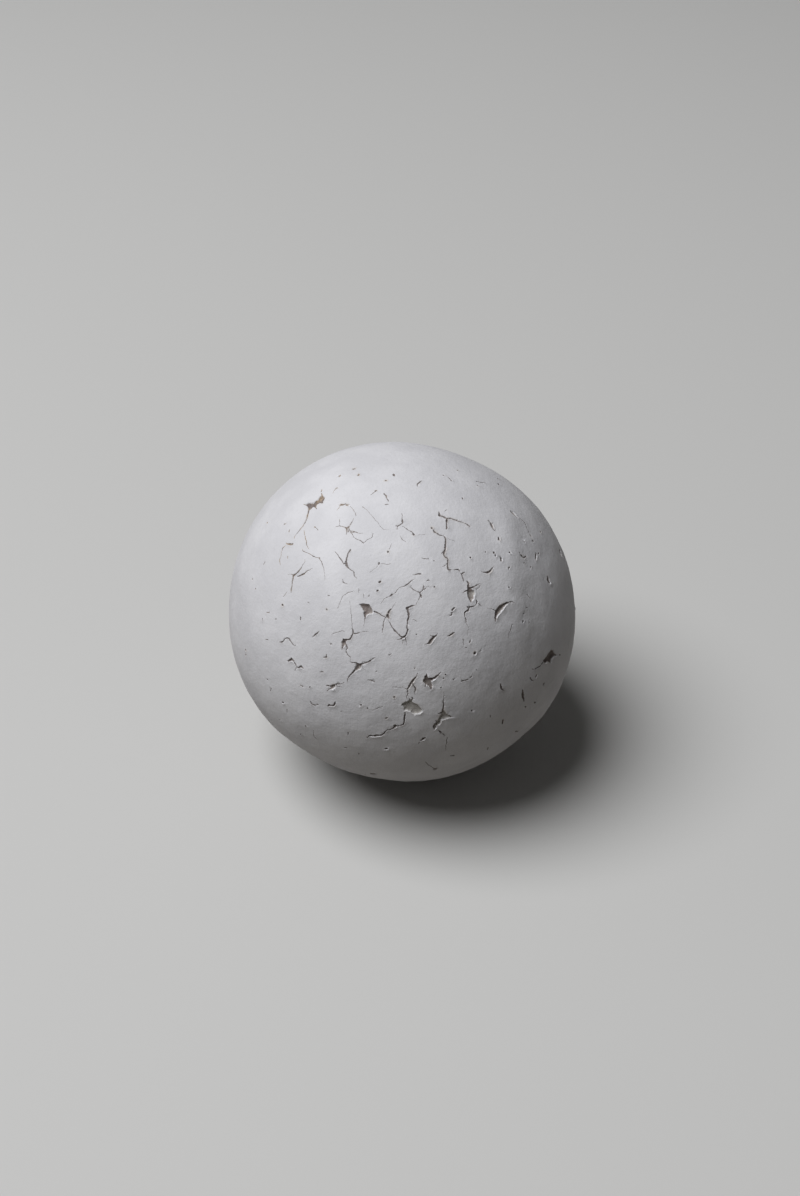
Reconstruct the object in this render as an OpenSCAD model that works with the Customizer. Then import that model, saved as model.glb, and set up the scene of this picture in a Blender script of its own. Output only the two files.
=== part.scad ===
// Hand-formed ceramic ball: a cracked white skin of slip over a tan body.
// The origin is the middle of the ball. +Z is up and -Y is the front.
// The ball rests on the point straight below its middle.

/* [Ball] */
// Mean diameter of the ball
ball_d = 98; // [80:1:120]
// Depth of the deepest palm mark, where the ball was pressed out of round
press = 2.1; // [0.5:0.1:4]
// How far the ball swells past its mean radius between the palm marks
swell = 0.8; // [0:0.1:2]

/* [Tears in the skin] */
// Depth of the torn places
tear_depth = 0.9; // [0.4:0.1:2]
// Depth of the narrow cracks
crack_depth = 0.6; // [0.3:0.1:1.5]
// Depth where a flake of the skin has come away
flake_depth = 0.8; // [0.4:0.1:2]
// How far every tear gapes, as a share of its drawn width
gape = 1; // [0.6:0.1:1.5]

/* [Hidden] */

ball_fn = 60;
mean_r = ball_d / 2;
full_r = mean_r + swell;
// A tear at least this wide somewhere is torn, and a narrower one is a crack.
torn_w = 1;
// How far a cutter stands clear of the skin
clear = 2;

// Tears are drawn on flat plans of a ball of this diameter, in mm, as they
// look from this far off. A plan is wrapped onto the ball by angle, so its
// tears keep their places on a ball of any size.
plan_d = 98;
plan_eye = 475;

// The round of the ball is centred a little low and to the right.
ROUND_MIDDLE = [0.007, -0.002, -0.003] * mean_r;

// Palm marks: [turn, tilt, share of the press, radius as a share of mean_r].
PALMS = [
    [58, 47, 1.0, 1.1],
    [244, -49, 0.8, 1.2],
    [20, 23, 0.4, 1.06],
    [190, -12, 0.4, 1.3],
    [286, -51, 0.4, 1.07],
    [116, 49, 0.5, 1.27],
    [262, 22, 0.3, 1.15],
    [80, -30, 0.5, 1.2],
    [325, -68, 0.3, 1.15],
    [140, -20, 0.3, 1.1],
];

// Every round that bounds the ball: [middle, radius].
ROUNDS = concat(
    [[ROUND_MIDDLE, full_r]],
    [for (palm = PALMS)
        let (r = palm[3] * mean_r, reach = full_r - palm[2] * press)
        [-toward(palm[0], palm[1]) * (r - reach), r]]
);

// Tears are rows of [x, y, width] along their length.
LEFT_SHOULDER = [
    [[-27.8, 30.0, 0.4], [-26.3, 29.2, 1.5], [-24.6, 30.1, 1.2], [-23.0, 31.6, 1.8], [-22.0, 33.2, 0.5]],
    [[-26.4, 29.2, 0.9], [-26.7, 26.6, 0.6], [-27.7, 24.3, 0.5], [-30.0, 21.4, 0.3]],
    [[-18.1, 23.9, 0.3], [-15.4, 23.1, 0.7], [-13.3, 21.0, 0.5], [-11.0, 19.0, 0.3]],
    [[-15.6, 22.8, 0.5], [-14.7, 24.5, 0.6], [-13.9, 25.8, 0.3]],
    [[-14.5, 17.2, 0.5], [-15.4, 15.7, 0.8], [-15.8, 13.6, 0.9], [-15.4, 12.4, 0.7], [-13.0, 9.8, 0.3]],
    [[-18.6, 16.4, 0.3], [-17.4, 14.8, 0.4], [-15.9, 13.2, 0.6]],
    [[-27.6, 13.1, 0.3], [-29.4, 10.8, 0.7], [-30.8, 9.2, 0.8], [-31.2, 6.0, 0.4], [-33.6, 4.1, 0.3]],
    [[-30.8, 9.4, 0.6], [-28.6, 9.9, 0.6], [-26.0, 11.7, 0.3]],
    [[-32.7, 18.9, 0.3], [-31.7, 18.9, 0.7], [-30.9, 18.8, 0.3]],
    [[-17.8, 30.0, 0.3], [-16.4, 30.1, 0.7], [-15.0, 30.0, 0.3]],
];
RIGHT_SHOULDER = [
    [[-0.1, 27.2, 0.3], [0.1, 25.3, 0.8], [-1.3, 23.7, 0.4]],
    [[-5.2, 33.1, 0.4], [-4.4, 32.2, 0.7], [-4.0, 31.1, 0.6], [-4.9, 30.0, 0.4]],
    [[10.4, 28.0, 0.4], [10.7, 26.9, 0.7], [12.4, 26.3, 0.8], [16.1, 25.0, 0.5], [19.2, 23.9, 0.3]],
    [[12.5, 26.4, 0.7], [12.6, 23.2, 0.6]],
    [[8.5, 23.1, 0.5], [9.4, 21.7, 0.5], [12.2, 20.9, 0.5], [12.4, 18.5, 0.8], [12.2, 16.6, 0.8]],
    [[12.2, 17.2, 0.7], [11.9, 15.8, 0.7], [12.9, 14.4, 0.7], [13.3, 11.7, 0.6]],
    [[13.0, 11.6, 0.6], [15.9, 11.5, 0.6], [16.8, 10.4, 0.5], [17.2, 8.5, 0.3]],
    [[18.9, 8.4, 0.5], [18.5, 6.0, 1.4], [18.8, 4.0, 1.6], [19.1, 2.3, 0.5]],
    [[18.9, 6.2, 0.8], [21.7, 7.9, 0.4]],
    [[21.3, 2.6, 0.5], [19.9, 1.4, 0.7], [18.1, -0.3, 0.6], [18.2, -3.2, 0.3]],
    [[30.8, 2.5, 0.3], [29.0, 2.1, 1.1], [27.2, 0.9, 1.9], [26.1, -0.6, 1.5], [26.0, -2.8, 0.4]],
    [[22.6, 11.1, 0.3], [24.2, 10.7, 0.9], [25.8, 12.6, 0.4]],
];
MIDDLE = [
    [[-8.6, 0.0, 0.9], [-6.4, -0.9, 0.5], [-4.2, -1.7, 0.5]],
    [[-3.3, 0.1, 0.6], [-4.1, -1.4, 0.8], [-5.3, -3.8, 0.4], [-5.5, -5.8, 0.3]],
    [[-3.8, -2.0, 0.4], [-2.8, -4.2, 0.4], [-1.0, -6.7, 0.6], [0.7, -7.6, 0.8]],
    [[0.4, -7.7, 0.6], [1.5, -6.2, 0.8], [1.6, -3.9, 0.6], [2.1, -2.0, 0.9], [1.6, 0.8, 0.7],
     [3.9, 1.8, 0.3]],
    [[-5.8, 2.1, 0.3], [-2.9, 4.4, 0.5], [1.3, 7.5, 0.5], [3.7, 9.0, 0.3]],
    [[2.8, 6.6, 0.3], [5.1, 4.9, 0.7], [6.0, 7.0, 0.3]],
    [[6.3, -9.5, 0.3], [8.0, -8.7, 1.2], [9.0, -7.7, 1.2], [10.4, -6.7, 0.3]],
];
LEFT_CHEEK = [
    [[-14.1, -5.8, 0.5], [-14.7, -7.7, 0.7], [-16.1, -8.6, 1.1], [-16.9, -9.8, 1.2], [-17.0, -10.9, 0.4]],
    [[-16.3, -8.6, 1.0], [-15.9, -10.6, 0.7], [-14.6, -13.2, 0.3]],
    [[-14.1, -14.7, 0.4], [-12.3, -15.8, 1.6], [-10.2, -14.8, 0.7], [-7.6, -13.1, 0.3]],
    [[-12.2, -15.6, 1.3], [-13.4, -17.0, 0.9], [-15.5, -19.2, 0.3]],
    [[-34.7, -8.8, 0.4], [-32.6, -7.6, 0.7], [-31.0, -9.4, 0.5], [-30.0, -9.8, 0.3]],
    [[-32.3, -13.8, 0.5], [-31.2, -13.8, 1.0], [-30.0, -15.4, 0.6], [-28.3, -15.8, 0.6]],
    [[-21.2, -21.4, 0.6], [-19.6, -21.2, 1.5], [-16.8, -20.5, 0.4]],
    [[-21.0, -27.3, 0.5], [-19.7, -27.0, 1.0], [-18.7, -26.2, 0.4]],
    [[-25.2, -7.1, 0.4], [-24.5, -6.5, 0.7], [-23.8, -5.9, 0.4]],
];
CHIN = [
    [[4.5, -17.8, 0.3], [3.3, -19.6, 0.8], [1.8, -22.0, 0.7], [1.9, -23.5, 0.3]],
    [[3.1, -20.0, 0.5], [4.0, -22.0, 0.5], [3.9, -23.3, 0.3]],
    [[7.2, -18.0, 0.5], [7.0, -19.7, 1.8], [7.8, -20.9, 1.8], [8.6, -22.2, 0.5]],
    [[7.4, -19.8, 1.1], [9.6, -18.5, 0.6], [10.9, -17.6, 0.3]],
    [[1.2, -29.0, 0.5], [0.8, -30.6, 0.8], [0.3, -32.4, 0.6]],
    [[0.7, -32.2, 0.6], [-1.9, -32.8, 1.1], [-4.1, -33.8, 0.6], [-6.8, -35.2, 1.1], [-9.4, -35.8, 0.3]],
    [[11.9, -25.4, 0.3], [12.0, -27.4, 0.5], [11.6, -28.8, 1.4], [11.2, -30.4, 1.2]],
    [[11.4, -29.4, 1.3], [9.9, -31.8, 1.2], [9.8, -33.2, 0.8], [11.6, -34.8, 0.6]],
    [[11.3, -29.5, 1.2], [14.0, -30.1, 0.4]],
];
RIGHT_CHEEK = [
    [[39.0, -15.2, 0.6], [41.3, -13.2, 2.0], [42.4, -12.1, 1.6], [43.6, -12.2, 0.4]],
    [[40.0, -14.6, 0.8], [38.4, -15.4, 0.6], [36.6, -16.1, 0.3]],
    [[17.0, -19.6, 0.5], [18.4, -19.1, 0.6], [19.7, -18.5, 0.4]],
    [[33.7, -22.4, 0.6], [34.3, -25.2, 0.6]],
    [[27.6, -20.5, 0.5], [28.2, -22.2, 0.8]],
];

// Flakes are outlines of [x, y].
BROW_FLAKE = [
    [-12.5, 2.0], [-10.6, 2.1], [-9.0, 1.1], [-7.6, -0.1],
    [-8.2, -0.9], [-10.3, -2.0], [-10.1, -0.5], [-11.1, 0.9],
];
CHIN_FLAKE = [
    [-0.4, -26.6], [0.7, -25.8], [2.9, -24.9], [3.2, -25.9], [4.5, -26.4], [5.3, -27.3],
    [5.9, -28.4], [4.9, -29.2], [3.6, -29.3], [1.4, -28.4], [0.7, -28.5], [0.5, -27.6],
];

FACE = concat(LEFT_SHOULDER, RIGHT_SHOULDER, MIDDLE, LEFT_CHEEK, CHIN, RIGHT_CHEEK);
BACK = concat(LEFT_SHOULDER, RIGHT_SHOULDER, MIDDLE, CHIN);

// Plans laid on the ball: [tears, flakes, spot of the plan that lies at this
// turn and tilt, turn, tilt, spin, 1 or -1 for a plan turned over].
PLANS = [
    [FACE, [BROW_FLAKE, CHIN_FLAKE], [0, 0], 270, 38, 0, 1],
    [BACK, [BROW_FLAKE, CHIN_FLAKE], [0, 0], 90, -38, 25, -1],
    [MIDDLE, [BROW_FLAKE], [0, 0], 14, 2, 70, 1],
    [LEFT_SHOULDER, [], [-23, 20], 64, 38, 150, -1],
    [CHIN, [CHIN_FLAKE], [3, -27], 136, 29, 100, 1],
    [MIDDLE, [], [0, 0], 178, -14, 200, -1],
    [LEFT_CHEEK, [], [-20, -13], 232, -57, 40, -1],
    [RIGHT_SHOULDER, [], [15, 15], 333, -45, 250, 1],
    [MIDDLE, [], [0, 0], 100, 33, 300, 1],
    [MIDDLE, [BROW_FLAKE], [0, 0], 285, -66, 120, -1],
];

function unit(v) = v / norm(v);
function sum(list, i = 0) = i == len(list) - 1 ? list[i] : list[i] + sum(list, i + 1);

// Unit vector toward a turn about Z and a tilt up from level
function toward(turn, tilt) = [cos(tilt) * cos(turn), cos(tilt) * sin(turn), sin(tilt)];

// Distance from the origin along v to the round of radius r about c
function to_round(v, c, r) = v * c + sqrt(r * r - c * c + pow(v * c, 2));

// Distance from the origin along v to the skin
function to_skin(v) = min([for (bound = ROUNDS) to_round(v, bound[0], bound[1])]);

// Angle between the middle of a plan and a spot this far off it
function plan_polar(off) =
    let (a = atan2(off, plan_eye))
    asin(min(1, 2 * plan_eye * sin(a) / plan_d)) - a;

// Unit vector toward a spot of a plan
function plan_ray(plan, spot) =
    let (
        x = (spot[0] - plan[2][0]) * plan[6],
        y = spot[1] - plan[2][1],
        polar = plan_polar(norm([x, y])),
        around = atan2(y, x) + plan[5],
        out = toward(plan[3], plan[4]),
        right = [-sin(plan[3]), cos(plan[3]), 0],
        up = cross(out, right)
    )
    out * cos(polar) + (right * cos(around) + up * sin(around)) * sin(polar);

// Turn and polar angle of the unit vector v
function turn_of(v) = atan2(v[1], v[0]);
function polar_of(v) = acos(v[2]);

// Where the ray w meets the flat that touches the skin at v, on that flat
function on_flat(v, w) =
    let (
        t = turn_of(v),
        p = polar_of(v),
        x_axis = [cos(p) * cos(t), cos(p) * sin(t), -sin(p)],
        y_axis = [-sin(t), cos(t), 0]
    )
    [w * x_axis, w * y_axis] * to_skin(v) / (w * v);

// Unit vector to the left of the way from a to b
function left_of(a, b) = let (d = unit(b - a)) [-d[1], d[0]];

// Outline of a tear, out along its left side and back along its right
function tear_outline(line, widths) =
    let (
        last = len(line) - 1,
        lefts = [for (i = [0:last])
            left_of(line[max(i - 1, 0)], line[min(i + 1, last)]) * widths[i] * gape / 2]
    )
    concat(
        [for (i = [0:last]) line[i] + lefts[i]],
        [for (i = [last:-1:0]) line[i] - lefts[i]]
    );

// Takes an outline out of the skin around v, down to the depth
module cut_skin(v, outline, depth)
    rotate([0, polar_of(v), turn_of(v)])
        translate([0, 0, to_skin(v) - depth])
            linear_extrude(depth + clear)
                polygon(outline);

module tear(plan, spots) {
    rays = [for (spot = spots) plan_ray(plan, spot)];
    widths = [for (spot = spots) spot[2]];
    v = unit(sum(rays));
    cut_skin(
        v,
        tear_outline([for (ray = rays) on_flat(v, ray)], widths),
        max(widths) < torn_w ? crack_depth : tear_depth
    );
}

module flake(plan, spots) {
    rays = [for (spot = spots) plan_ray(plan, spot)];
    v = unit(sum(rays));
    cut_skin(v, [for (ray = rays) on_flat(v, ray)], flake_depth);
}

module ball()
    color("whitesmoke")
        difference() {
            intersection_for (bound = ROUNDS)
                translate(bound[0])
                    sphere(r = bound[1], $fn = ball_fn);
            for (plan = PLANS) {
                for (spots = plan[0])
                    tear(plan, spots);
                for (spots = plan[1])
                    flake(plan, spots);
            }
        }

ball();
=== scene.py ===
import math

import bmesh
import bpy
import numpy as np
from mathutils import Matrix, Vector, noise
from mathutils.bvhtree import BVHTree


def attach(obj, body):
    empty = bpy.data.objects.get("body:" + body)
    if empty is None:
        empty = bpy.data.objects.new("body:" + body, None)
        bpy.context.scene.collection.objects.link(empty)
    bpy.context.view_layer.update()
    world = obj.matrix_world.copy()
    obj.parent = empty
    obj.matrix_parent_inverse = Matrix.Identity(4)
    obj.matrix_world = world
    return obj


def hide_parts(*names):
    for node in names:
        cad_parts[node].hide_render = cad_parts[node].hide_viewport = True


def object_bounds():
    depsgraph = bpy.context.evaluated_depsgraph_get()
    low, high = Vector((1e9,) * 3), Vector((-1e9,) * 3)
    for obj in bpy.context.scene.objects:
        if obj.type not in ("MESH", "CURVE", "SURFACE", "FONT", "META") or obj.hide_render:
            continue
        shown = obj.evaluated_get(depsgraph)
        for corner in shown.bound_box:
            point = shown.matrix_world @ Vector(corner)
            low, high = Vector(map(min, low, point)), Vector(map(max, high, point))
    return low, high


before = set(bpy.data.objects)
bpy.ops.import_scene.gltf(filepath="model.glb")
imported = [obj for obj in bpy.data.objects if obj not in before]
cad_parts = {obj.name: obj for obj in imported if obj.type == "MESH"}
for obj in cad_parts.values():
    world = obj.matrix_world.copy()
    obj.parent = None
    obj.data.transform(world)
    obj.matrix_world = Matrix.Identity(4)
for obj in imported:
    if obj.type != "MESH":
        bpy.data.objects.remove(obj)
cad_low, cad_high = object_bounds()

# ---------------------------------------------------------------------------
# Values. The ball is worked in millimetres and is scaled to metres at the end.
# ---------------------------------------------------------------------------
MM = 0.001

# Plans are drawn of a ball this wide, as it looks from this far off.
PLAN_D = 98
PLAN_EYE = 475

# The slip skin is torn open down to the clay. A wide tear is deep, a crack is shallow.
WIDER = 1.08           # every mark is cut this much wider than it is drawn
NICK_WIDER = 1.14      # and a nick this much more
TEAR_DEPTH = 0.74      # depth that the widest tears come near
DEEP_HALF = 0.46       # half width at which a tear is two thirds of that deep
FLAKE_DEPTH = 0.62     # depth where a flake of the skin has come away
WALL_SHARE = 0.5       # run of the broken edge of the skin, as a share of half the tear
WALL_MIN = 0.12
WALL_MAX = 0.33
SLOPE_SHARE = 0.30     # how much further the skin slopes in from the lower right
SLOPE_MAX = 0.24       # and that is never more than this
SLOPE_HALF = 0.14      # a mark with no half width over this has the same wall all round
LIP_RISE = 0.09        # how far the skin curls up along a tear
LIP_REACH = 0.40       # and how far back from the edge
LIP_LEAN = 1.0         # how much higher the lip is on the lower right
LIP_FULL_WIDTH = 0.35  # half width of a tear that has its whole lip
LIP_WAVE = (1.5, 1.1)  # the lip rises and falls: size of a wave, share of the rise
LIP_GRAIN = (0.8, 0.025)
CRUMB_SIZE = 0.6       # the clay in a tear is rough: size of a crumb
CRUMB = 0.16           # and its height, as a share of the depth
FAR = 9.0              # distance given to skin that is near no mark
PLAIN_HALF = 0.3       # and the half width given to it
END_STEP = 0.5         # added past the ends of a line, so that it ends there
NEAR_MARK = 2.5        # how far from a mark the skin is looked at for it

# Torn edges wander: (size of the wander, how far it reaches), in mm.
WANDER = ((1.2, 0.16), (0.38, 0.10))
WANDER_SEED = 7

# The skin was smoothed by hand: (size of a hollow or rise, height), in mm.
RELIEF = ((16.0, 0.12), (7.0, 0.09), (3.4, 0.08), (1.7, 0.030))
# and is rougher toward the lower right of its face, and most round one spot of it:
ROUGH_SIDE = 0.55
ROUGH_WAY = (14, -29)      # the way it gets rougher, in the plan of the face
ROUGH_SPOT = (33, 3, 13)   # x and y in that plan, and how wide the spot is
ROUGH_SIZE = 5.0
ROUGH_HEIGHT = 0.16
# A soft fold of the skin runs down the right of its face.
FOLD = [[29.5, 27], [30.6, 18], [30.8, 10], [31.2, 3], [32.5, -5]]
FOLD_HEIGHT = 0.42
FOLD_REACH = 4.3

# The mesh: a sphere of even triangles, cut finer near the marks. A crack thinner than
# this has a row of points down its middle, a wider tear has one along each edge.
SPHERE_STEPS = 7
FINE_BANDS = (0.46, 0.24)  # cut finer this near the edge of a mark, and again
FACE_BAND = 0.12           # and once more this near, on the side that faces the front
FACE_COSINE = 0.12         # how far round the ball that side goes
THIN_HALF = 0.17
SETTLE_BAND = 0.25         # points this near an edge may slide onto it
SETTLE_SHARE = 0.44        # by up to this share of the triangles there
FOLDED_COSINE = 0.6        # a triangle turned further than this from the skin is folded

# The whole skin lies this much inside the solid it takes the place of, lips and all.
SINK = 0.16

# ---------------------------------------------------------------------------
# The plan of the face, in mm: tears and cracks [x, y, width], and nicks
# [x, y, length, width, angle]. Each group is drawn about one part of the face.
# ---------------------------------------------------------------------------
LEFT_SHOULDER = [
    [[-22.6, 32.6, 0.4], [-22.8, 33.6, 0.1]],
    [[-26.3, 28.9, 0.7], [-26.5, 27.9, 0.42], [-26.8, 26.6, 0.45], [-27.3, 25.3, 0.36],
     [-27.9, 24.2, 0.26], [-29.3, 22.5, 0.18], [-30.2, 21.5, 0.16], [-30.6, 20.5, 0.08]],
    [[-26.6, 29.9, 0.5], [-28, 30.3, 0.1]],
    [[-24.8, 29.9, 0.6], [-24.1, 28.9, 0.12]],
    [[-17.8, 30, 0.19], [-17.2, 30, 0.63], [-16.6, 30, 0.53], [-16, 30.25, 0.42],
     [-15.4, 29.95, 0.56], [-14.9, 30.1, 0.17]],
    [[-17.4, 29.8, 0.11], [-18.4, 28.4, 0.05]],
    [[-14.6, 29.6, 0.1], [-13.5, 28.3, 0.11], [-12.9, 26.9, 0.1]],
    [[-15.6, 23.3, 0.45], [-14.9, 23.9, 0.23], [-14.3, 24.7, 0.28], [-13.9, 25.5, 0.15],
     [-13.7, 26.2, 0.06]],
    [[-15.6, 23.3, 0.41], [-16.5, 23.7, 0.15], [-17.7, 24.1, 0.16], [-18.8, 23.8, 0.06]],
    [[-15.6, 23.2, 0.37], [-15.5, 22.2, 0.18], [-15.6, 21.7, 0.07]],
    [[-15, 23.6, 0.25], [-14.8, 22.6, 0.16], [-13.5, 22.4, 0.18], [-12.4, 22, 0.11],
     [-10.9, 21.9, 0.05]],
    [[-14.7, 22.3, 0.16], [-13.6, 20.9, 0.11], [-12.3, 20.1, 0.12], [-11.2, 19.5, 0.28],
     [-10.7, 19.2, 0.23]],
    [[-10.6, 19.4, 0.11], [-9.9, 20, 0.09], [-8.5, 20.8, 0.15], [-8.2, 21.8, 0.08]],
    [[-17.7, 24.2, 0.08], [-17.7, 26, 0.05]],
    [[-14.4, 17.4, 0.16], [-14.6, 17.1, 0.41], [-15.2, 16.4, 0.37], [-15.5, 15.5, 0.45],
     [-15.7, 14.4, 0.37], [-15.9, 13.7, 0.57], [-15.7, 12.9, 0.61], [-15.4, 12.3, 0.33],
     [-14.9, 11.8, 0.2], [-14, 11.4, 0.15], [-13.6, 10.9, 0.26], [-13.3, 9.8, 0.15],
     [-12.8, 9.1, 0.06]],
    [[-15.9, 13.4, 0.41], [-16.5, 13.4, 0.33], [-17.3, 14.6, 0.23], [-18.3, 16, 0.15],
     [-19, 16.9, 0.06]],
    [[-27.4, 14.6, 0.07], [-27.5, 13.6, 0.1], [-28.4, 12.4, 0.11], [-29.2, 11.3, 0.35],
     [-29.7, 10.7, 0.38], [-30.3, 10.2, 0.43], [-30.8, 10, 0.49], [-30.8, 9.2, 0.39],
     [-31.1, 7.5, 0.29], [-31.4, 5.8, 0.29], [-31.5, 5.2, 0.1]],
    [[-30.6, 10.2, 0.25], [-31.5, 10.4, 0.11], [-32.4, 10.3, 0.05]],
    [[-29.7, 9.7, 0.14], [-28.8, 10, 0.36], [-28, 10.4, 0.43], [-27.1, 11.1, 0.21],
     [-25.3, 12.3, 0.08]],
    [[-32.6, 5.4, 0.08], [-33.2, 4.5, 0.16], [-33.7, 4, 0.08]],
    [[-32.9, 19.2, 0.16], [-32.4, 18.95, 0.46], [-31.6, 18.9, 0.59], [-30.9, 18.95, 0.46]],
    [[-33, 18.6, 0.08], [-33.9, 17.7, 0.11], [-34.3, 15.8, 0.08], [-34.7, 14.3, 0.15],
     [-34.5, 12.9, 0.06]],
    [[-28.3, 17.5, 0.06], [-27.8, 16.9, 0.15], [-27, 16.4, 0.11], [-25.7, 16, 0.15],
     [-24.9, 15.4, 0.21], [-24, 15.1, 0.11], [-23.4, 15, 0.2], [-22.8, 13.9, 0.16],
     [-22.3, 12.6, 0.12], [-21.9, 10.6, 0.07], [-21.9, 8.8, 0.05]],
    [[-27.6, 22.8, 0.16], [-27.5, 21.4, 0.11], [-27.1, 19.9, 0.18], [-26.9, 18.6, 0.16],
     [-26.3, 17.5, 0.08]],
    [[-24.8, 23.8, 0.23], [-24.2, 23.5, 0.11], [-23.6, 22.8, 0.08]],
    [[-11.3, 29.5, 0.15], [-9.9, 28.5, 0.08], [-8, 26.4, 0.07], [-6.4, 24.2, 0.08],
     [-5.3, 22.9, 0.08], [-3.8, 23, 0.05]],
    [[-18.2, 34.9, 0.1], [-18.6, 34.8, 0.26], [-19.3, 34.1, 0.1], [-19.6, 33.3, 0.07]],
]
RIGHT_SHOULDER = [
    [[-5.2, 33.4, 0.18], [-5, 33, 0.4], [-4.4, 32.6, 0.38], [-4.3, 31.9, 0.2], [-3.9, 31.2, 0.34],
     [-3.8, 30.8, 0.1]],
    [[-4.6, 30, 0.3], [-3.8, 30.1, 0.18]],
    [[-7.1, 34, 0.2], [-7.4, 33.95, 0.42], [-8.1, 33.4, 0.14], [-9, 32.9, 0.07]],
    [[0, 27.6, 0.06], [0, 26.3, 0.14], [0.1, 25.4, 0.5], [0.15, 24.7, 0.28], [-0.5, 24.2, 0.24],
     [-1.2, 23.9, 0.28], [-1.8, 24, 0.2]],
    [[-1.2, 23.9, 0.28], [-1.4, 23, 0.18]],
    [[0.4, 23.9, 0.1], [1.3, 23.1, 0.18], [2.8, 22.1, 0.11], [3.4, 21.5, 0.3]],
    [[4.4, 21.4, 0.08], [6.5, 21.5, 0.06]],
    [[10.5, 28.2, 0.13], [10.5, 27.6, 0.36], [10.7, 26.95, 0.78], [11.3, 26.7, 0.39],
     [12.3, 26.3, 0.65], [12.8, 26.1, 0.39], [13.9, 26.1, 0.31], [14.9, 25.7, 0.31],
     [16.2, 25.2, 0.2], [18, 24.6, 0.26], [18.7, 24.1, 0.44], [19.2, 23.8, 0.18]],
    [[12.8, 26.1, 0.45], [12.6, 25.2, 0.42], [12.65, 24.2, 0.36], [12.7, 23.4, 0.59],
     [12.5, 22.9, 0.18]],
    [[12, 28.1, 0.07], [12.6, 28.6, 0.18]],
    [[8.9, 22.6, 0.15], [9.1, 22.2, 0.44], [10, 21.7, 0.26], [10.8, 21.2, 0.2], [11.7, 21.1, 0.11],
     [12.1, 20.6, 0.31], [12.3, 19.6, 0.37], [12.3, 18.6, 0.48], [12.2, 17.4, 0.66], [12, 16.8, 0.37],
     [11.85, 16.3, 0.61], [11.75, 15.7, 0.33], [12.2, 15.1, 0.48], [12.9, 14.7, 0.31],
     [12.95, 13.4, 0.37], [12.9, 12.6, 0.31], [13.1, 11.7, 0.5], [14, 11.6, 0.22], [15.2, 11.5, 0.29],
     [15.9, 11.6, 0.44], [16.3, 11.2, 0.11]],
    [[11.8, 16.9, 0.3], [11.4, 16.4, 0.22], [10.9, 16.1, 0.07]],
    [[12.8, 13.4, 0.2], [12.2, 12.8, 0.14], [11.3, 12.5, 0.12]],
    [[16.3, 10.7, 0.07], [16.8, 10.4, 0.38], [17.5, 10.8, 0.2], [17.7, 11, 0.07]],
    [[16.8, 10.3, 0.28], [17, 9.4, 0.18], [17.3, 8.4, 0.18], [17.3, 7.9, 0.06]],
    [[13, 20.4, 0.08], [15, 19.6, 0.05]],
    [[18.3, 8.4, 0.14], [18.7, 7.8, 0.45], [18.7, 6.9, 0.6], [19.1, 6, 1.3], [19.4, 4.9, 2],
     [19.5, 3.7, 1.4], [19.3, 2.5, 0.3]],
    [[18.6, 5.7, 0.6], [17.7, 5.5, 0.18], [16.9, 5, 0.06]],
    [[19.3, 6.5, 0.5], [20.3, 6.8, 0.28], [21.3, 7.5, 0.24], [21.9, 7.9, 0.07]],
    [[20.7, 6, 0.1], [21.7, 6.5, 0.11], [21.9, 7.2, 0.07]],
    [[21, 3.1, 0.1], [21.2, 2.5, 0.5], [20.9, 2, 0.24], [20.3, 1.4, 0.28], [19.5, 1.1, 0.34],
     [18.5, 1.05, 0.38], [18.2, 1.2, 0.1]],
    [[19, 0.9, 0.35], [18.7, 0.2, 0.5], [18, -0.2, 0.5], [17.7, -0.5, 0.5], [17.6, -1.2, 0.34],
     [18, -2.3, 0.24], [18.1, -3.3, 0.14], [18.7, -4.6, 0.07], [18.5, -7, 0.05]],
    [[21.4, 2.3, 0.2], [22.4, 1.2, 0.09]],
    [[31.4, 2.4, 0.1], [30.2, 2.5, 0.3], [29.1, 2.2, 0.6], [28.2, 1.4, 1.1], [27.4, 0.6, 1.5],
     [26.8, -0.3, 1.3], [26.4, -1.2, 0.8], [26.2, -2.2, 0.4], [26.2, -3.2, 0.1]],
    [[26.9, 0.2, 0.5], [26.2, 0.1, 0.34], [25.5, 0.5, 0.1]],
    [[25.5, 0.5, 0.1], [24, 0.8, 0.06]],
    [[22.3, 11.15, 0.16], [23, 10.9, 0.2], [23.8, 10.75, 0.44], [24.5, 10.8, 0.62], [25, 11.4, 0.46],
     [25.5, 12.2, 0.16], [25.9, 12.9, 0.07]],
    [[24.9, 25, 0.2], [25.3, 24.4, 0.56], [25.6, 23.6, 0.48], [25.9, 22.9, 0.12]],
    [[25.3, 24.5, 0.34], [25.7, 25.1, 0.1]],
    [[26, 22.6, 0.2], [26.5, 22.9, 0.1]],
    [[30.9, 28.5, 0.3], [31.3, 28, 0.7], [32.2, 27.2, 0.56], [32.9, 26.5, 0.24]],
    [[33.9, 26.2, 0.07], [35, 25.2, 0.12], [36, 22.3, 0.1]],
    [[-0.7, 21.2, 0.08], [0, 20.2, 0.11], [1.1, 19.3, 0.05]],
    [[4.3, 35.2, 0.07], [4.4, 36.1, 0.32], [5, 36.6, 0.32], [5.6, 37, 0.26]],
    [[13.1, 38.4, 0.08], [13.7, 37.8, 0.16], [14.2, 37.3, 0.34]],
    [[21.4, 37.3, 0.1], [21.8, 37.3, 0.4], [22.7, 37.1, 0.14], [24.3, 37, 0.12]],
    [[33.2, 15.7, 0.2], [33.9, 15.3, 0.6], [34.4, 15, 0.55], [35.2, 15.4, 0.24]],
    [[38, 16.5, 0.2], [38, 15.6, 0.5], [37.9, 14.7, 0.42]],
    [[41.1, 9.8, 0.2], [41.4, 8.9, 0.7], [41.9, 8, 0.45]],
    [[35.2, 4.8, 0.07], [35.6, 4.2, 0.13], [36, 3.5, 0.07]],
]
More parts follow.
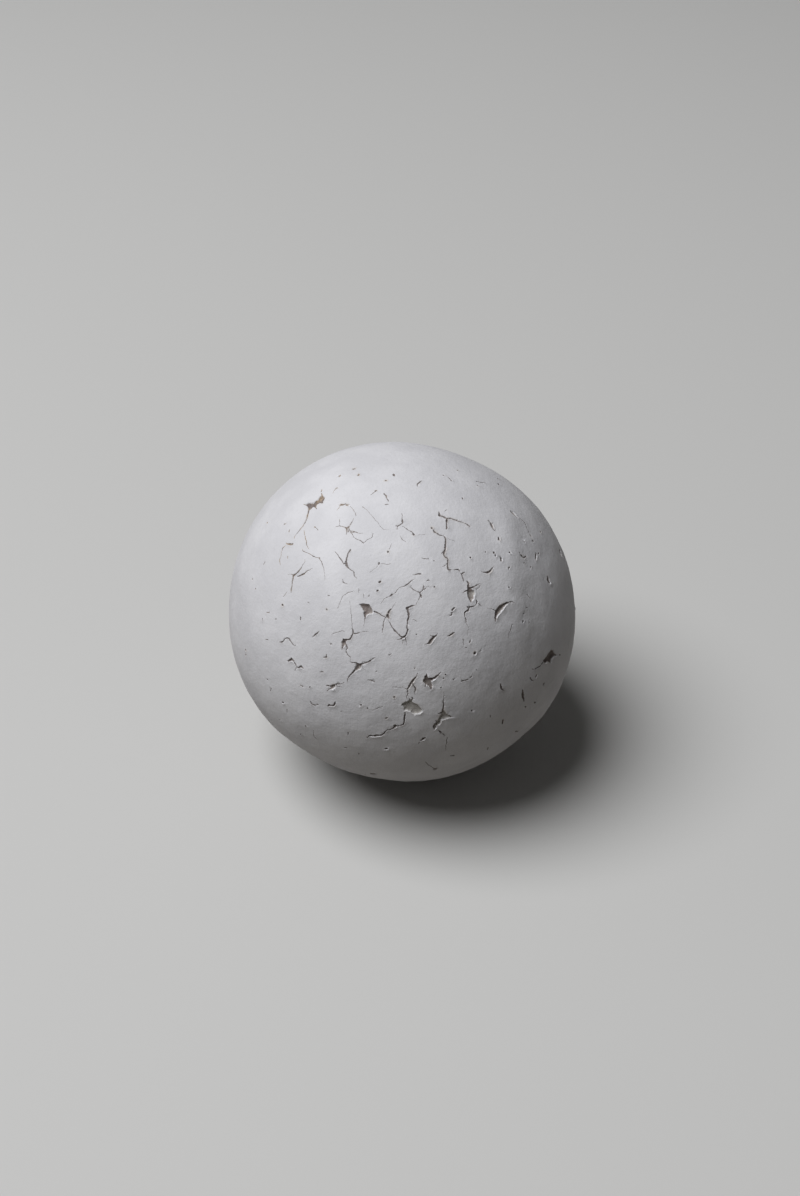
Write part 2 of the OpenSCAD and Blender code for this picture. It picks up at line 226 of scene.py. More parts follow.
MIDDLE = [
    [[-7.9, -0.2, 0.55], [-7, -0.6, 0.44], [-6.3, -0.95, 0.38], [-5.3, -1.5, 0.2],
     [-4.5, -1.8, 0.16]],
    [[-10.6, -0.3, 0.7], [-10.8, -1.2, 0.5], [-10.5, -2.1, 0.4], [-10.7, -3, 0.12],
     [-10.9, -4.3, 0.09]],
    [[-3.1, 0.6, 0.2], [-3.6, -0.1, 0.5], [-4.2, -1.3, 0.75], [-3.8, -2, 0.56], [-3.6, -2.4, 0.18]],
    [[-4.3, -1.5, 0.5], [-4.9, -2.1, 0.14], [-5.3, -3.4, 0.2], [-5.4, -4.9, 0.2], [-5.6, -6.2, 0.1]],
    [[-3.9, -2.7, 0.07], [-3.2, -3.7, 0.19], [-2.8, -4.6, 0.22], [-2.1, -5.6, 0.41],
     [-1.4, -6.2, 0.24], [-0.8, -6.8, 0.34], [-0.2, -7.4, 0.43], [0.4, -7.6, 0.6], [0.9, -7.2, 0.57],
     [1.3, -6.4, 0.36], [1.7, -5.4, 0.47], [1.4, -4.6, 0.26], [1.5, -3.8, 0.29], [1.6, -2.7, 0.43],
     [2.1, -1.7, 0.67], [1.9, -0.8, 0.57], [1.7, 0.1, 0.52], [1.4, 0.8, 0.69], [2.1, 1.1, 0.48],
     [2.8, 1.4, 0.33], [3.9, 1.8, 0.14]],
    [[0.2, -7.7, 0.4], [-0.6, -8.1, 0.26], [-1.4, -8.3, 0.1]],
    [[0.2, -7.8, 0.2], [0.1, -9.6, 0.08]],
    [[0.9, -7.5, 0.26], [1.2, -8.4, 0.14], [1.4, -9.9, 0.06]],
    [[3.9, 1.8, 0.1], [4.7, 3, 0.1], [5.1, 4.1, 0.14], [5.2, 4.8, 0.28]],
    [[3.2, -2.3, 0.09], [4.4, -3.1, 0.11]],
    [[-6.2, 2, 0.07], [-5.1, 3.3, 0.13], [-3.7, 4.1, 0.11], [-3, 4.45, 0.4], [-2.2, 4.9, 0.13],
     [-0.7, 6.6, 0.14], [0.6, 6.9, 0.18], [1.5, 7.5, 0.4], [2.3, 8.2, 0.24], [3.7, 9.2, 0.07]],
    [[2.5, 6.7, 0.11], [3.4, 6, 0.2], [4.3, 5.4, 0.18], [5.2, 5.3, 0.28], [5.8, 5.9, 0.26],
     [6.1, 6.7, 0.18], [6.1, 7.4, 0.07]],
    [[5, 5.3, 0.2], [5.4, 4.4, 0.4], [5.5, 3.8, 0.1]],
    [[6.1, 6.1, 0.14], [6.7, 6.4, 0.18], [6.9, 6.9, 0.09]],
    [[3, 10.3, 0.06], [4.3, 10.3, 0.22], [4.8, 10.4, 0.4], [5.4, 10.35, 0.26], [5.7, 10.4, 0.08]],
    [[6.9, 8.6, 0.12], [7.3, 8.65, 0.28], [8.1, 8.65, 0.1]],
    [[7.1, 6.8, 0.09], [8.7, 6.8, 0.08]],
    [[6.3, -9.6, 0.1], [7.2, -9.3, 0.28], [7.9, -9, 0.7], [8.4, -8.4, 0.95], [9.1, -7.6, 0.7],
     [9.9, -6.9, 0.2], [10.1, -6.4, 0.07]],
    [[8.1, -6.9, 0.11], [8.8, -7.2, 0.24], [9.3, -7.3, 0.24]],
    [[-1.8, 2.4, 0.08], [-2.4, 1.5, 0.09], [-3.1, 0.5, 0.07]],
    [[-3.5, 17.4, 0.11], [-2.9, 19.2, 0.06]],
    [[-5.9, 13.3, 0.07], [-3.1, 13.2, 0.05]],
    [[-6.9, 12.9, 0.11], [-7.5, 12.2, 0.08], [-9.2, 10.9, 0.05]],
    [[5.4, 14.9, 0.07], [6.4, 14.8, 0.14], [7.6, 14.6, 0.13]],
    [[-12.3, 6.5, 0.09], [-12.4, 5.2, 0.11]],
    [[-10.9, 5, 0.09], [-10.9, 3.8, 0.09]],
    [[-16.9, 9.1, 0.09], [-16.7, 8.1, 0.2], [-15.4, 7.6, 0.07]],
    [[-13.7, 5.6, 0.06], [-15.2, 5.2, 0.15], [-16.5, 4.7, 0.18], [-16.9, 3.9, 0.1],
     [-17.7, 2.3, 0.09], [-18.3, 0.8, 0.06]],
]
LEFT_CHEEK = [
    [[-14.3, -4.8, 0.1], [-14.1, -5.7, 0.34], [-14.1, -6.4, 0.34], [-14.4, -7.4, 0.4],
     [-14.9, -8.1, 0.36], [-15.8, -8.2, 0.46], [-16.5, -8.4, 0.8], [-16.7, -9.2, 1.3],
     [-16.9, -10, 0.8], [-17.1, -10.9, 0.2]],
    [[-16.5, -9.2, 0.8], [-15.9, -10, 0.4], [-15.6, -10.7, 0.34], [-15.9, -11.3, 0.14],
     [-15.8, -12, 0.26], [-15.4, -12.7, 0.24], [-14.6, -13.3, 0.13]],
    [[-14.7, -13.6, 0.06], [-14.8, -14.4, 0.11], [-14.2, -14.7, 0.2]],
    [[-14, -6.4, 0.24], [-13.3, -6.6, 0.26], [-12.5, -6.2, 0.18], [-11.5, -5.9, 0.09],
     [-9.4, -5.8, 0.06]],
    [[-14.9, 3, 0.06], [-14.5, -0.5, 0.08], [-14.2, -4.8, 0.11]],
    [[-20.2, -6.6, 0.1], [-18.9, -6.1, 0.13], [-17.1, -5.8, 0.15], [-16.5, -6, 0.07]],
    [[-14.4, -14.7, 0.12], [-13.6, -14.85, 0.34], [-12.9, -14.9, 0.46], [-12.5, -15.4, 0.8],
     [-12.4, -15.9, 1.6], [-12.9, -16.4, 1.1], [-13.6, -17.2, 0.56], [-14.8, -18.5, 0.34],
     [-15.5, -19.2, 0.18], [-15.6, -20.6, 0.08]],
    [[-12, -15.5, 0.9], [-11.3, -15.1, 0.3], [-10.1, -14.8, 0.3], [-9.2, -14.3, 0.34],
     [-8.4, -13.7, 0.28], [-7.5, -13.1, 0.1]],
    [[-11.2, -16.2, 0.08], [-10.3, -17, 0.08]],
    [[-34.8, -8.8, 0.12], [-34.3, -8.85, 0.38], [-33.6, -8.6, 0.29], [-33.1, -7.9, 0.2],
     [-32.4, -7.65, 0.34], [-31.9, -8, 0.24], [-31.3, -9, 0.2], [-30.8, -9.6, 0.17],
     [-30, -9.8, 0.09]],
    [[-32.4, -14.2, 0.3], [-31.9, -14.1, 0.7], [-31.2, -13.8, 0.74], [-30.6, -14.3, 0.46],
     [-30, -15.2, 0.28], [-29.9, -15.8, 0.11]],
    [[-29.9, -15.9, 0.14], [-29.1, -16, 0.4], [-28.5, -15.8, 0.64], [-28, -16.2, 0.3]],
    [[-30, -16, 0.1], [-30.3, -17, 0.12]],
    [[-25.5, -7.3, 0.12], [-24.7, -6.75, 0.4], [-24, -6.2, 0.34], [-23.6, -5.6, 0.11]],
    [[-21.4, -21.1, 0.14], [-20.9, -21.2, 0.3], [-20.2, -21.4, 0.4]],
    [[-19, -20.9, 0.3], [-18.3, -20.8, 0.24], [-17.4, -20.8, 0.16], [-16.4, -20.4, 0.1]],
    [[-21.2, -22.7, 0.12], [-20.6, -22.3, 0.26], [-20.1, -22, 0.34]],
    [[-18.4, -21.5, 0.1], [-17.1, -21.5, 0.09]],
    [[-21, -27, 0.2], [-20.4, -26.7, 0.62], [-19.9, -26.8, 0.3], [-19.3, -26.8, 0.5],
     [-18.9, -26.3, 0.6], [-18.8, -25.5, 0.14]],
    [[-17.4, -28.4, 0.11], [-16.7, -28.3, 0.1]],
    [[-9.8, -19.6, 0.1], [-8.8, -19.7, 0.18], [-8.1, -20, 0.28], [-7.6, -20.1, 0.1]],
    [[-23.3, -17.4, 0.11], [-22.8, -17.35, 0.28], [-22, -17.3, 0.18]],
    [[-21.4, -12.2, 0.1], [-21.5, -13.1, 0.4], [-22.5, -13.2, 0.1]],
    [[-25.9, -25.5, 0.14], [-25.6, -26.2, 0.26], [-24.7, -26.6, 0.22], [-23.6, -26.4, 0.2]],
    [[-25, -33.7, 0.1], [-24.9, -35.4, 0.16], [-24.4, -36.1, 0.24]],
]
CHIN = [
    [[4.5, -17.7, 0.12], [3.9, -18.9, 0.28], [3.2, -19.7, 0.56], [2.7, -20.6, 0.62],
     [2.1, -21.5, 0.52], [1.6, -22.1, 0.36], [1.7, -22.8, 0.32], [1.7, -23.5, 0.26],
     [1.3, -24.3, 0.14], [1.6, -25.1, 0.14]],
    [[3, -20.6, 0.18], [3.4, -21.3, 0.34], [3.8, -22, 0.42], [3.7, -23.2, 0.18], [3.7, -24, 0.07]],
    [[-3, -21.5, 0.07], [-1.2, -21.8, 0.12], [0.2, -21.7, 0.09], [1.5, -22.2, 0.11]],
    [[7.1, -17.9, 0.24], [6.9, -18.8, 1.1], [6.9, -19.7, 1.7], [7.6, -20.4, 1.7], [8.1, -21.2, 1.1],
     [8.3, -22.1, 0.44]],
    [[7.7, -19.6, 1.1], [8.7, -19.3, 0.8], [9.5, -18.7, 0.5], [10.3, -18.1, 0.34],
     [11.1, -17.3, 0.1]],
    [[7, -20.6, 0.5], [6.6, -21.4, 0.12]],
    [[2.9, -25.2, 0.3], [3, -24.5, 0.2]],
    [[2.1, -25.3, 0.3], [2.2, -24.6, 0.08]],
    [[0.9, -28.9, 0.3], [0.9, -29.6, 0.5], [0.8, -30.4, 0.52], [0.6, -31.3, 0.42], [0.3, -32.2, 0.32],
     [-0.8, -32.55, 0.24], [-1.5, -32.6, 0.3], [-1.95, -32.6, 0.8], [-2.3, -33.1, 0.36],
     [-3.1, -33.5, 0.28], [-3.9, -33.5, 0.28], [-4.5, -33.9, 0.34], [-5, -34.6, 0.34],
     [-5.9, -35.1, 0.42], [-7.1, -35.1, 0.54], [-7.9, -35.2, 0.42], [-8.6, -35.2, 0.54],
     [-9.3, -35.3, 0.3], [-9.9, -35.9, 0.1]],
    [[11.8, -22.8, 0.08], [11.8, -24.8, 0.11], [11.7, -25.8, 0.28], [11.75, -27.2, 0.4],
     [11.6, -28.2, 0.6], [11.3, -29, 0.5], [11, -29.8, 0.4]],
    [[11.2, -28.7, 0.5], [10.7, -28.8, 0.34], [9.9, -29, 0.09]],
    [[10.6, -30.6, 0.14], [10.1, -31.2, 0.3], [9.6, -31.8, 0.56], [9, -32.4, 0.66],
     [9.2, -33.4, 0.36]],
    [[10, -31.2, 0.4], [9.4, -30.8, 0.12]],
    [[9.6, -32.2, 0.5], [10.3, -32.3, 0.16]],
    [[10.4, -33.6, 0.14], [10.8, -34.1, 0.7], [11, -34.7, 0.14]],
    [[11.3, -34.6, 0.12], [11.7, -34.8, 0.42], [12.2, -35.2, 0.1]],
    [[12.75, -35.5, 0.1], [12.6, -36.6, 0.2], [12.4, -37.5, 0.16], [12.3, -38.7, 0.11],
     [12.4, -39.4, 0.05]],
    [[5.4, -36.5, 0.31], [6, -36.1, 0.65], [6.6, -35.7, 0.24]],
    [[4.9, -37.1, 0.18], [4.8, -37.6, 0.1]],
    [[6.6, -42.8, 0.1], [7.3, -43.6, 0.22], [8.2, -44.2, 0.26], [9, -44.8, 0.14], [9.5, -45, 0.45],
     [10, -44.6, 0.1]],
    [[-8.5, -28.1, 0.09], [-7, -27.6, 0.09], [-5.3, -27, 0.06]],
]
RIGHT_CHEEK = [
    [[39.6, -14.2, 0.3], [38.9, -15.3, 0.14], [38.1, -15.8, 0.38], [36.9, -16.3, 0.2],
     [36.3, -16.2, 0.08]],
    [[44, -12.3, 0.3], [44.5, -12.3, 0.22]],
    [[35.9, -18.5, 0.18], [36.1, -19.1, 0.38], [36.7, -19.6, 0.22]],
    [[33.7, -22.1, 0.2], [33.9, -23.2, 0.85], [34, -24.1, 0.75], [34.3, -25.3, 0.18]],
    [[27.7, -20.2, 0.16], [27.8, -21.3, 0.55], [28.1, -22, 0.55], [28.6, -22.3, 0.22]],
    [[16.7, -19.9, 0.11], [17.1, -19.75, 0.34], [18, -19.45, 0.16], [18.8, -19.1, 0.22],
     [19.4, -18.7, 0.21], [19.8, -17.9, 0.08], [19.9, -17.1, 0.05]],
    [[30.6, -3.9, 0.14], [30.4, -5.3, 0.1], [29.8, -6.2, 0.14], [29.7, -7.6, 0.06]],
    [[17.3, -7.8, 0.18], [17.3, -9.3, 0.08], [17, -10.4, 0.1]],
    [[12.9, -7.1, 0.16], [13.7, -6.9, 0.5], [14.3, -6.4, 0.4], [14.9, -6.1, 0.14]],
]

LEFT_SHOULDER_NICKS = [
    [-17.7, 38.4, 0.95, 0.6, 80], [-12.3, 38.7, 0.9, 0.45, 60], [-13.6, 40.5, 0.6, 0.3, 10],
    [-38.3, 25, 0.6, 0.4, 0], [-33.2, 24.7, 0.5, 0.3, 0], [-31.9, 22.7, 0.6, 0.2, 80],
    [-22.9, 34.1, 0.8, 0.25, 75], [-42.6, 9, 0.5, 0.25, 0], [-41.6, 6.3, 0.6, 0.42, 20],
    [-33.8, 1.6, 0.75, 0.5, 10], [-32.4, 15.2, 0.8, 0.13, 90], [-26.5, 2.5, 0.7, 0.13, 0],
    [-20.8, 4.4, 0.6, 0.14, 0], [-21.4, 0.4, 0.5, 0.34, 90], [-39.1, 13.5, 1, 0.11, 60],
]
RIGHT_SHOULDER_NICKS = [
    [-2.2, 38.7, 0.95, 0.62, 90], [-4.6, 37, 0.5, 0.34, 0], [8.5, 23.3, 0.62, 0.5, 100],
    [3.4, 21.5, 0.62, 0.5, 0], [27.3, 20.3, 0.95, 0.45, 92], [27.8, 14.3, 1, 0.45, 95],
    [26.3, 15.5, 0.6, 0.4, 110], [25.8, 16.4, 0.6, 0.34, 100], [30.1, 16.3, 0.55, 0.48, 0],
    [33, 16.3, 0.4, 0.22, 0], [23.5, 16.7, 0.5, 0.2, 90], [29.8, 6.5, 0.55, 0.48, 0],
    [29.8, 12.1, 0.8, 0.26, 10], [35, 1, 0.6, 0.22, 10], [19.3, 15, 0.55, 0.48, 80],
    [16.1, 40.6, 0.5, 0.34, 60], [17.2, 32.1, 0.75, 0.34, 80], [12, 38.8, 0.5, 0.28, 0],
    [21.9, 36, 0.5, 0.24, 0], [28, 38.4, 0.6, 0.34, 70], [28, 36.7, 0.7, 0.26, 60],
    [24.3, 25.6, 0.5, 0.2, 10], [38.8, 16.3, 0.5, 0.24, 80], [45.3, 16.6, 1.3, 0.8, 90],
    [36.3, 12.4, 0.5, 0.2, 90], [37.2, 19.8, 0.6, 0.24, 0], [36.6, 21.4, 0.7, 0.22, 130],
    [39.6, 22.5, 0.5, 0.24, 90], [34.6, 19.6, 0.5, 0.18, 90], [34.4, 13.6, 0.5, 0.26, 60],
]
MIDDLE_NICKS = [
    [-3.9, 16.7, 0.6, 0.44, 40], [-6.5, 13.4, 0.6, 0.44, 80], [-6.3, 8.2, 0.8, 0.5, 40],
    [-7, 5.7, 0.65, 0.55, 0], [9.2, 6.8, 0.5, 0.38, 0], [14.5, 0.5, 1.2, 0.46, 50],
    [14, -1.1, 0.9, 0.26, 50], [14.2, -0.4, 0.9, 0.2, 20], [4.2, -6.7, 0.5, 0.18, 10],
    [-3.3, -12.4, 0.9, 0.18, 40], [9, 14.1, 0.5, 0.14, 30], [-9.4, 4.2, 0.5, 0.12, 20],
]
LEFT_CHEEK_NICKS = [
    [-28.8, -2.2, 1, 0.26, 85], [-39.5, -2.5, 0.7, 0.24, 80], [-38, -0.4, 1, 0.16, 10],
    [-35.7, -2.3, 0.5, 0.2, 0], [-38.3, -8.1, 0.8, 0.14, 0], [-20.3, -9.4, 0.6, 0.24, 20],
    [-44.3, -11.1, 0.6, 0.48, 0], [-44.2, -12.5, 0.5, 0.22, 80], [-28.4, -21.2, 0.9, 0.2, 150],
    [-26.1, -21.5, 0.7, 0.34, 40], [-38, -19.4, 0.4, 0.24, 0], [-37, -22.2, 0.9, 0.14, 80],
    [-33.6, -25.9, 0.7, 0.42, 5], [-32.4, -28.2, 1.2, 0.12, 85], [-34.6, -31, 0.6, 0.2, 150],
    [-27.1, -32.5, 0.5, 0.3, 80], [-28.7, -35, 0.6, 0.3, 20], [-7.3, -17.3, 0.5, 0.2, 0],
]
CHIN_NICKS = [
    [-11.5, -26.6, 0.7, 0.28, 10], [-9.7, -27.5, 0.5, 0.34, 60], [-2.2, -24.5, 0.5, 0.34, 0],
    [-4.4, -30.4, 0.6, 0.34, 10], [-4.4, -38.9, 0.75, 0.42, 10], [-16, -38.8, 0.9, 0.15, 0],
    [-15.2, -34.6, 1, 0.15, 80], [-12.3, -40.6, 0.5, 0.18, 90], [3.7, -16.3, 0.5, 0.22, 80],
    [-8.2, -46.8, 1.3, 0.5, 0], [11.8, -19.2, 0.5, 0.22, 45], [12.3, -18, 0.5, 0.28, 60],
]
RIGHT_CHEEK_NICKS = [
    [20.5, -11.9, 0.8, 0.62, 80], [22, -11.2, 0.4, 0.18, 70], [14.5, -19.4, 0.4, 0.16, 0],
    [11.1, -21.7, 0.6, 0.28, 0], [19.2, -8.7, 0.7, 0.24, 80], [18, -10.3, 0.5, 0.16, 150],
    [39.8, -20.5, 0.6, 0.22, 70], [37.6, -18.2, 0.7, 0.4, 60], [33.8, -3, 0.6, 0.4, 80],
    [34.1, -0.8, 0.6, 0.2, 110], [35.5, -3, 0.7, 0.13, 90], [28.4, -31.2, 1.2, 0.4, 88],
    [19.6, -28.1, 0.5, 0.36, 90], [14.2, -40.8, 1, 0.24, 0], [24.3, -39, 0.9, 0.2, 88],
    [24.8, -29.6, 0.8, 0.15, 90], [32.3, -33.8, 0.9, 0.22, 5], [34.7, -27, 0.6, 0.2, 10],
    [37.3, -25.7, 0.5, 0.24, 0], [20.9, -16.4, 0.6, 0.12, 120],
]

# Flakes: half the width each counts as, and its outline [x, y]. The wider, the paler its clay.
BROW_FLAKE = (0.85, [
    [-12.5, 2], [-11.2, 2.15], [-9.3, 2], [-8.9, 1.3], [-8.3, 0.2], [-7.9, -0.5], [-8.9, -0.9],
    [-9.6, -1.1], [-10.1, -1.6], [-10.5, -2.5], [-10.8, -1.6], [-10.7, -0.6], [-11.3, 0.6],
    [-11.9, 1.3],
])
CHIN_FLAKE = (1.25, [
    [-0.4, -26.6], [0.7, -25.8], [2.9, -24.9], [3.2, -25.9], [4.5, -26.4], [5.3, -27.3], [5.9, -28.4],
    [4.9, -29.2], [3.6, -29.3], [1.4, -28.4], [0.7, -28.5], [0.5, -27.6],
])
STEP_FLAKE = (1.2, [
    [11.8, -27.4], [12.2, -28.3], [12.9, -29.1], [13.6, -29.4], [14.4, -30], [13.2, -30.3],
    [12.1, -30.7], [11.3, -30.8], [11.1, -31.5], [10.6, -32.2], [9.9, -32.3], [9.9, -33],
    [9.3, -33.6], [8.8, -32.9], [8.8, -32.2], [9.4, -31.5], [10, -30.9], [10.4, -30], [10.9, -29.2],
    [11.3, -28.5],
])
CHEEK_FLAKE = (1.0, [
    [-20.3, -21], [-19.6, -20.8], [-18.9, -20.8], [-18.7, -21.4], [-19, -21.9], [-19.5, -22.3],
    [-20.1, -22.3], [-20.5, -21.6],
])
SHOULDER_FLAKE = (0.42, [
    [-27.4, 30.3], [-26.6, 30.7], [-25.2, 30.8], [-23.9, 31.6], [-23.1, 32.7], [-22.5, 32.9],
    [-21.8, 32.2], [-22, 31.1], [-22.6, 30.3], [-23.4, 30.4], [-24, 30.1], [-24.3, 29.2],
    [-25.1, 29.4], [-25.8, 28.7], [-26.4, 28.3], [-26.7, 29.1], [-27, 29.8],
])
RIM_FLAKE = (0.62, [
    [39.4, -14], [40.3, -12.9], [41.1, -11.6], [41.8, -10.7], [42.6, -11], [43.1, -12], [43.9, -12.4],
    [42.8, -12.8], [42.1, -13.5], [41.8, -14.9], [40.9, -14.3], [40, -14.9],
])

FACE = LEFT_SHOULDER + RIGHT_SHOULDER + MIDDLE + LEFT_CHEEK + CHIN + RIGHT_CHEEK
FACE_NICKS = (LEFT_SHOULDER_NICKS + RIGHT_SHOULDER_NICKS + MIDDLE_NICKS + LEFT_CHEEK_NICKS
              + CHIN_NICKS + RIGHT_CHEEK_NICKS)
BACK = LEFT_SHOULDER[:20] + RIGHT_SHOULDER[:30] + MIDDLE[:19] + CHIN
BACK_NICKS = LEFT_SHOULDER_NICKS + MIDDLE_NICKS + CHIN_NICKS
BACK_FLAKES = [SHOULDER_FLAKE, BROW_FLAKE, CHIN_FLAKE, STEP_FLAKE]
FACE_FLAKES = BACK_FLAKES + [CHEEK_FLAKE, RIM_FLAKE]

# Plans laid on the ball: tears, nicks, flakes, the spot of the plan that lies
# at this turn and tilt, turn, tilt, spin, 1 or -1 for one turned over.
PLANS = [
    (FACE, FACE_NICKS, FACE_FLAKES, (0, 0), 270, 38, 0, 1),
    (BACK, BACK_NICKS, BACK_FLAKES, (0, 0), 90, -38, 25, -1),
    (MIDDLE[:11], MIDDLE_NICKS, [BROW_FLAKE], (0, 0), 14, 2, 70, 1),
    (LEFT_SHOULDER[:16], LEFT_SHOULDER_NICKS[:8], [SHOULDER_FLAKE], (-23, 20), 64, 38, 150, -1),
    (CHIN, CHIN_NICKS[:6], [CHIN_FLAKE, STEP_FLAKE], (3, -27), 136, 29, 100, 1),
    (MIDDLE[:11], MIDDLE_NICKS[:4], [], (0, 0), 178, -14, 200, -1),
    (LEFT_CHEEK[:16], LEFT_CHEEK_NICKS, [], (-20, -13), 232, -57, 40, -1),
    (RIGHT_SHOULDER[7:24], RIGHT_SHOULDER_NICKS[2:9], [], (15, 15), 333, -45, 250, 1),
    (MIDDLE[:15], MIDDLE_NICKS[4:], [], (0, 0), 100, 33, 300, 1),
    (MIDDLE[4:18], MIDDLE_NICKS[:6], [BROW_FLAKE], (0, 0), 285, -66, 120, -1),
]
FACE_TURN = 270
FACE_TILT = 38


# ---------------------------------------------------------------------------
# Laying the plans on the ball
# ---------------------------------------------------------------------------
def toward(turn, tilt):
    """Unit vector toward a turn about Z and a tilt up from level, in degrees."""
    a, e = math.radians(turn), math.radians(tilt)
    return np.array([math.cos(e) * math.cos(a), math.cos(e) * math.sin(a), math.sin(e)])


def plan_ray(plan, spot):
    """Unit vector toward a spot of a plan."""
    middle, turn, tilt, spin, side = plan[3:]
    x = (spot[0] - middle[0]) * side
    y = spot[1] - middle[1]
    seen = math.atan2(math.hypot(x, y), PLAN_EYE)
    polar = math.asin(min(1.0, 2 * PLAN_EYE * math.sin(seen) / PLAN_D)) - seen
    around = math.atan2(y, x) + math.radians(spin)
    out = toward(turn, tilt)
    right = np.array([-math.sin(math.radians(turn)), math.cos(math.radians(turn)), 0.0])
    up = np.cross(out, right)
    return out * math.cos(polar) + (right * math.cos(around) + up * math.sin(around)) * math.sin(polar)


# ---------------------------------------------------------------------------
# The round of the ball, read from the frame's own solid
# ---------------------------------------------------------------------------
def powers(rays):
    """Every product of x, y and z of degree 5 or 6: a smooth lumpy round is a sum of them."""
    x, y, z = rays.T
    columns = []
    for degree in (5, 6):
        for i in range(degree + 1):
            for j in range(degree + 1 - i):
                columns.append(x**i * y**j * z ** (degree - i - j))
    return np.stack(columns, axis=1)


def round_of(node):
    """The smooth round that fits a node's skin, tears left out, as weights for powers()."""
    mesh = node.data
    tree = BVHTree.FromPolygons([v.co for v in mesh.vertices], [p.vertices for p in mesh.polygons])
    bm = bmesh.new()
    bmesh.ops.create_icosphere(bm, subdivisions=5, radius=1.0)
    rays = np.array([v.co.normalized() for v in bm.verts])
    bm.free()
    outside = 0.2
    tear_step = 0.3
    reach = np.array([
        tree.ray_cast(Vector(ray) * outside, -Vector(ray))[0].length / MM for ray in rays
    ])
    table = powers(rays)
    skin = np.ones(len(rays), bool)
    for _ in range(6):
        weights = np.linalg.lstsq(table[skin], reach[skin], rcond=None)[0]
        skin = reach - table @ weights > -tear_step
    return weights


def noise_at(points, size, seed, depth=1):
    """Seeded noise from -1 to 1 at points in mm, with features of about this size."""
    shift = Vector((seed * 17.3, seed * -9.1, seed * 5.7))
    return np.array([
        noise.fractal(Vector(p) / size + shift, 1.0, 2.0, depth) for p in points
    ])


def wander(points):
    """Points in mm, each moved a little, so that lines drawn straight run jagged."""
    moved = points.copy()
    for seed, (size, reach) in enumerate(WANDER):
        shift = Vector((seed * 31.7 + 4.1, 8.3, seed * -12.9))
        moved += np.array([noise.noise_vector(Vector(p) / size + shift) for p in points]) * reach
    return moved


# ---------------------------------------------------------------------------
# Marks: how far each point of the skin lies from the edge of a tear
# ---------------------------------------------------------------------------
def line_distance(points, line, halves):
    """Distance from the edge of a bent line of varying half width, negative inside it,
    the half width there, and distance from its middle, negative on one side of it."""
    best = np.full(len(points), FAR)
    half = np.full(len(points), halves[0])
    off = np.full(len(points), FAR)
    last = len(line) - 2
    for i in range(last + 1):
        a, b, half_a, half_b = line[i], line[i + 1], halves[i], halves[i + 1]
        way = b - a
        free = (points - a) @ way / (way @ way)
        along = np.clip(free, 0, 1)
        width = half_a + (half_b - half_a) * along
        away = np.linalg.norm(points - a - along[:, None] * way, axis=1) - width
        closer = away < best
        best[closer] = away[closer]
        half[closer] = width[closer]
        off[closer] = ((away + width) * np.where(points @ np.cross(a, way) < 0, -1.0, 1.0))[closer]
        past = closer & ((free < 0) & (i == 0) | (free > 1) & (i == last))
        off[past] = np.abs(off[past]) + END_STEP
    return best, half, off


def outline_distance(points, outline):
    """Signed distance from a closed outline on the skin, negative inside it."""
    middle = outline.mean(0)
    out = middle / np.linalg.norm(middle)
    across = np.cross(out, [0.0, 0.0, 1.0])
    across /= np.linalg.norm(across)
    up = np.cross(out, across)
    flat = np.stack([points @ across, points @ up], axis=1)
    corners = np.stack([outline @ across, outline @ up], axis=1)
    best = np.full(len(points), FAR)
    inside = np.zeros(len(points), bool)
    for a, b in zip(corners, np.roll(corners, -1, axis=0)):
        way = b - a
        along = np.clip((flat - a) @ way / (way @ way), 0, 1)
        best = np.minimum(best, np.linalg.norm(flat - a - along[:, None] * way, axis=1))
        crosses = (a[1] > flat[:, 1]) != (b[1] > flat[:, 1])
        rise = np.where(crosses, way[1], 1.0)
        inside ^= crosses & (flat[:, 0] < a[0] + (flat[:, 1] - a[1]) * way[0] / rise)
    return np.where(inside, -best, best)


def nick_line(nick):
    """A nick as a short line [x, y, width]."""
    x, y, length, width, angle = nick
    run = max(length - width, 0.02) / 2
    dx = run * math.cos(math.radians(angle))
    dy = run * math.sin(math.radians(angle))
    width *= NICK_WIDER
    return [[x - dx, y - dy, width], [x + dx, y + dy, width]]


def squash_of(spots, middle):
    """How much narrower each spot of a line looks in its plan than it is, as the ball turns away."""
    spots = np.array(spots)[:, :2]
    way = np.gradient(spots, axis=0)
    way /= np.linalg.norm(way, axis=1)[:, None] + 1e-9
    out = spots - np.array(middle)
    far = np.linalg.norm(out, axis=1)
    along = (way * out).sum(1) / (far + 1e-9)
    face_on = np.sqrt(np.clip(1 - (2 * far / PLAN_D) ** 2, 0.16, 1))
    return np.sqrt(along**2 + face_on**2 * (1 - along**2))


def lay_marks():
    """Every mark as (points on the skin, half widths or one number for a flake, way to lower right)."""
    marks = []
    for plan in PLANS:
        tears, nicks, flakes, middle = plan[:4]
        lower_right = plan_ray(plan, (middle[0] + 5, middle[1] - 6)) - plan_ray(plan, middle)
        lower_right /= np.linalg.norm(lower_right)
        for spots in tears + [nick_line(nick) for nick in nicks]:
            line = np.array([plan_ray(plan, s) for s in spots]) * PLAN_D / 2
            halves = np.array([s[2] / 2 for s in spots]) * WIDER / squash_of(spots, middle)
            marks.append((line, halves, lower_right))
        for half, spots in flakes:
            outline = np.array([plan_ray(plan, s) for s in spots]) * PLAN_D / 2
            marks.append((outline, half, lower_right))
    return marks


MARKS = lay_marks()


def wall_of(half):
    """Run of the broken edge of the skin, from its rim down to the clay."""
    return np.minimum(half, np.clip(half * WALL_SHARE, WALL_MIN, WALL_MAX))


def depth_of(half):
    """Depth of a tear with this half width."""
    return TEAR_DEPTH * (1 - np.exp(-half / DEEP_HALF))


